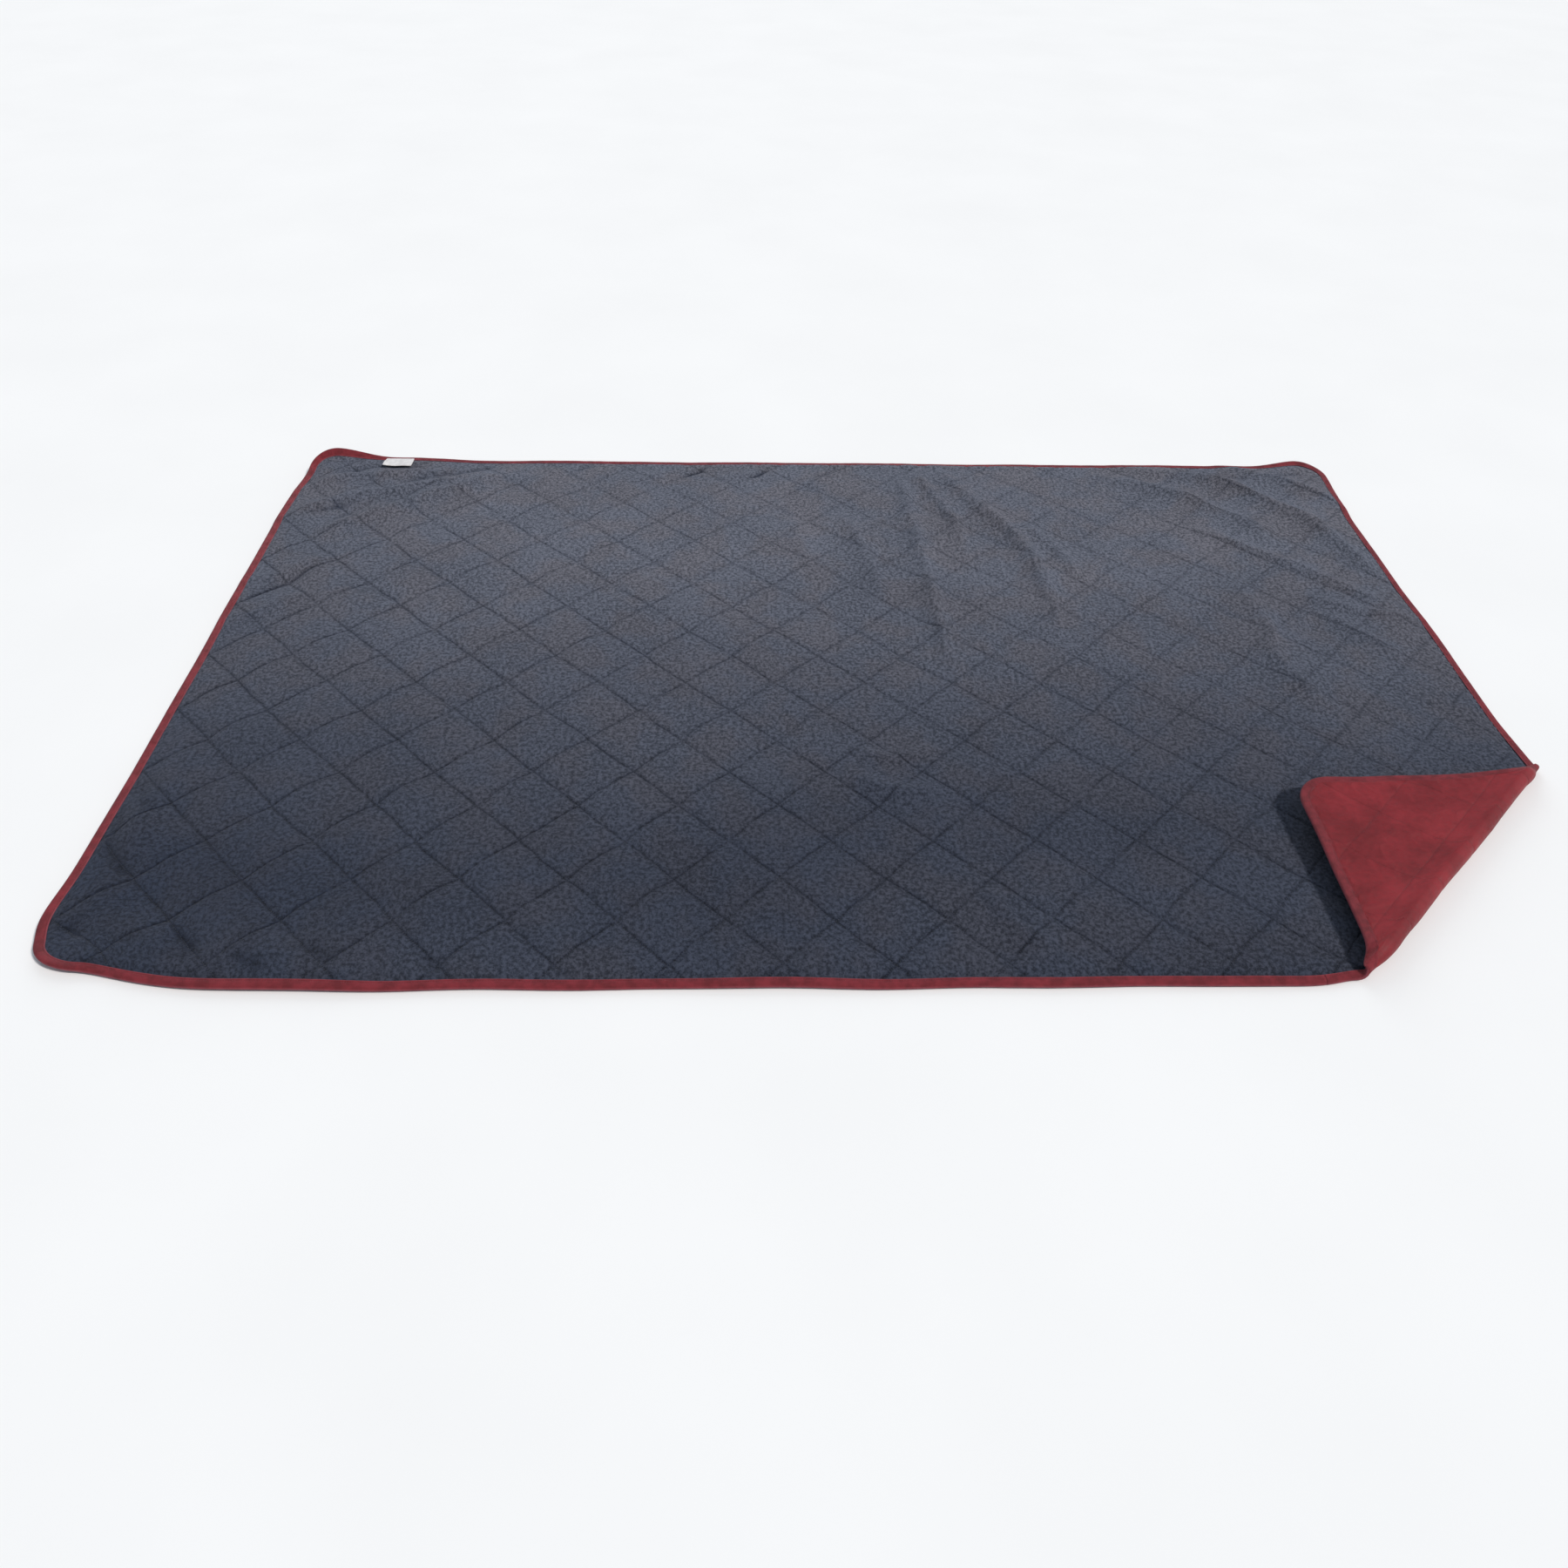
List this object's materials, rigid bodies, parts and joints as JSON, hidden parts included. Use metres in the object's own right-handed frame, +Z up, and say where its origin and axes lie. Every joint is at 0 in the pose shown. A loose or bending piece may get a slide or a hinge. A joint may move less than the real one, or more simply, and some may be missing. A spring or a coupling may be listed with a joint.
{
  "type": "quilted camp blanket",
  "caption": "Rectangular quilted camp blanket with a fleece face, nylon backing and bound edges, laid flat with one corner turned back.",
  "frame": {"origin": "centre of the blanket on the surface it lies on", "axes": "+X along the long side, +Y along the short side away from the turned corner, +Z up"},
  "size_m": [2, 1.3, 0.0423],
  "materials": {
    "fleece": "short dense fleece pile, matt with a soft sheen",
    "wadding": "white polyester wadding",
    "nylon": "coated plain-weave nylon, low gloss, finely creased",
    "binding": "woven binding tape, low gloss, fine cross ribs",
    "quilting_thread": "polyester thread, low gloss",
    "backing_thread": "polyester thread, low gloss",
    "binding_thread": "polyester thread, low gloss",
    "label_satin": "white satin ribbon, soft gloss"
  },
  "bodies": {
    "blanket": {"binding_stitch_top": "binding_thread", "binding_stitch_under": "binding_thread", "binding_tape": "binding", "fleece_face": "fleece", "nylon_backing": "nylon", "quilting_thread_top_falling": "quilting_thread", "quilting_thread_top_rising": "quilting_thread", "quilting_thread_under_falling": "backing_thread", "quilting_thread_under_rising": "backing_thread", "wadding": "wadding"},
    "corner": {"binding_stitch_top_corner": "binding_thread", "binding_stitch_under_corner": "binding_thread", "binding_tape_corner": "binding", "fleece_face_corner": "fleece", "nylon_backing_corner": "nylon", "quilting_thread_top_falling_corner": "quilting_thread", "quilting_thread_top_rising_corner": "quilting_thread", "quilting_thread_under_falling_corner": "backing_thread", "quilting_thread_under_rising_corner": "backing_thread", "wadding_corner": "wadding"},
    "label": {"care_label": "label_satin"}
  },
  "joints": [
    {"name": "corner_fold", "type": "hinge", "parent": "blanket", "child": "corner", "pos_m": [0.63171, -0.63171, 0.016], "axis": [0.7071, 0.7071, 0], "range_deg": [0, 170]},
    {"name": "label_lift", "type": "hinge", "parent": "blanket", "child": "label", "pos_m": [-0.82, 0.6371, 0.0087], "axis": [-1, 0, 0], "range_deg": [0, 160]}
  ]
}
